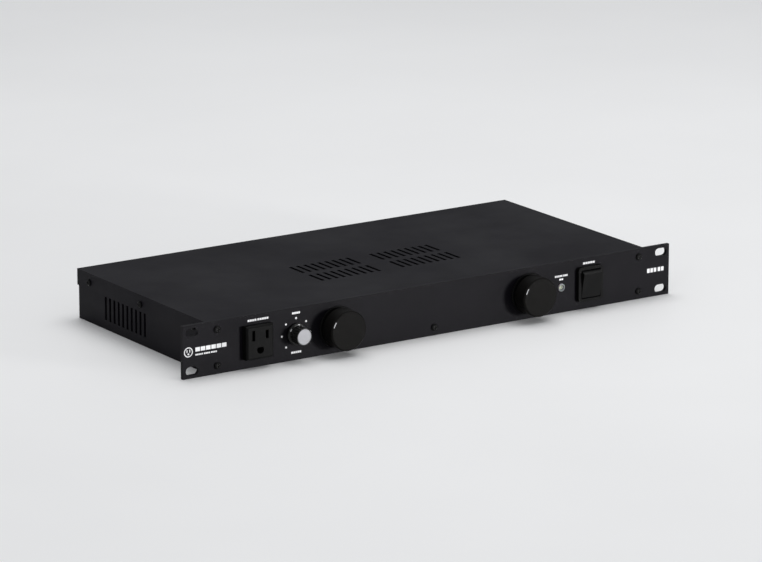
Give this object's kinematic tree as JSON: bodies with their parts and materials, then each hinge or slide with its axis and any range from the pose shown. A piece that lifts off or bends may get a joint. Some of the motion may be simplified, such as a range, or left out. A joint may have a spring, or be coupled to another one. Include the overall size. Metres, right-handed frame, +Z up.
{
  "type": "rack power strip",
  "caption": "One-unit rack power strip with front and rear outlets, two pull-out swivelling work lights, dimmer knob, indicator and rocker switch.",
  "frame": {"origin": "centre of the four rack slots, on the rear face of the front panel that bears on the rack rails", "axes": "+X to the right as seen from the front, +Y to the rear, +Z up"},
  "size_m": [0.4826, 0.245, 0.044],
  "materials": {
    "panel_black": "satin black powder coat",
    "zinc_steel": "black painted sheet steel",
    "black_steel": "black oxide",
    "bright_steel": "zinc plated",
    "brass": "satin",
    "pot_metal": "plated",
    "black_nylon": "fine texture",
    "knob_black": "satin",
    "knob_silver": "satin",
    "rocker_black": "semi-gloss",
    "led_ring": "clear grey",
    "led_lens": "water clear",
    "tube_anodised": "black anodised",
    "cap_black": "satin black",
    "diffuser": "frosted",
    "white_nylon": "natural nylon",
    "phenolic": "phenolic",
    "bulb_glass": "frosted glass",
    "board_green": "solder mask",
    "varistor_blue": "epoxy",
    "capacitor_yellow": "boxed film capacitor",
    "ferrite": "coated ferrite",
    "copper_wire": "enamelled copper",
    "lead_jacket": "PVC",
    "button_white": "satin"
  },
  "bodies": {
    "chassis": {"front_panel": "panel_black", "chassis_tray": "zinc_steel", "top_cover": "zinc_steel", "panel_screws": "black_steel", "cover_screws": "black_steel", "front_outlet": "black_nylon", "front_contacts": "brass", "line_bus": "brass", "neutral_bus": "brass", "ground_bus": "brass", "dimmer_pot": "pot_metal", "dimmer_nut": "bright_steel", "switch_housing": "black_nylon", "switch_pin": "bright_steel", "switch_terminals": "brass", "led_ring": "led_ring", "led_lens": "led_lens", "light_bushes": "black_nylon", "light_rails": "black_nylon", "surge_board": "board_green", "board_standoffs": "bright_steel", "board_screws": "bright_steel", "varistors": "varistor_blue", "filter_capacitor": "capacitor_yellow", "choke_core": "ferrite", "choke_winding": "copper_wire", "power_leads": "lead_jacket", "breaker_body": "black_nylon", "breaker_nut": "bright_steel", "cord_gland": "black_nylon", "gland_nut": "black_nylon", "rear_outlet_1": "black_nylon", "rear_outlet_2": "black_nylon", "rear_outlet_3": "black_nylon", "rear_outlet_4": "black_nylon", "rear_outlet_5": "black_nylon", "rear_outlet_6": "black_nylon", "rear_outlet_7": "black_nylon", "rear_outlet_8": "black_nylon"},
    "left_lamp": {"left_slider": "white_nylon", "left_socket": "phenolic", "left_bulb_base": "brass", "left_bulb": "bulb_glass"},
    "left_light": {"left_tube": "tube_anodised", "left_cap": "cap_black", "left_window": "diffuser", "left_retainer": "bright_steel"},
    "right_lamp": {"right_slider": "white_nylon", "right_socket": "phenolic", "right_bulb_base": "brass", "right_bulb": "bulb_glass"},
    "right_light": {"right_tube": "tube_anodised", "right_cap": "cap_black", "right_window": "diffuser", "right_retainer": "bright_steel"},
    "dimmer": {"dimmer_shaft": "bright_steel", "dimmer_knob": "knob_black", "dimmer_cap": "knob_silver"},
    "rocker": {"switch_rocker": "rocker_black"},
    "breaker_reset": {"breaker_button": "button_white"}
  },
  "joints": [
    {"name": "left_light_slide", "type": "slide", "parent": "chassis", "child": "left_lamp", "axis": [0, -1, 0], "range_m": [0, 0.095]},
    {"name": "left_light_swivel", "type": "hinge", "parent": "left_lamp", "child": "left_light", "pos_m": [-0.095, 0.05, 0], "axis": [0, 1, 0], "range_deg": [-165, 165]},
    {"name": "right_light_slide", "type": "slide", "parent": "chassis", "child": "right_lamp", "axis": [0, -1, 0], "range_m": [0, 0.095]},
    {"name": "right_light_swivel", "type": "hinge", "parent": "right_lamp", "child": "right_light", "pos_m": [0.095, 0.05, 0], "axis": [0, 1, 0], "range_deg": [-165, 165]},
    {"name": "dimmer_turn", "type": "hinge", "parent": "chassis", "child": "dimmer", "pos_m": [-0.1346, -0.008, 0], "axis": [0, 1, 0], "range_deg": [-140, 130]},
    {"name": "power_rocker", "type": "hinge", "parent": "chassis", "child": "rocker", "pos_m": [0.157, -0.0032, 0], "axis": [1, 0, 0], "range_deg": [-20, 0]},
    {"name": "breaker_reset_travel", "type": "slide", "parent": "chassis", "child": "breaker_reset", "axis": [0, 1, 0], "range_m": [0, 0.005]}
  ]
}
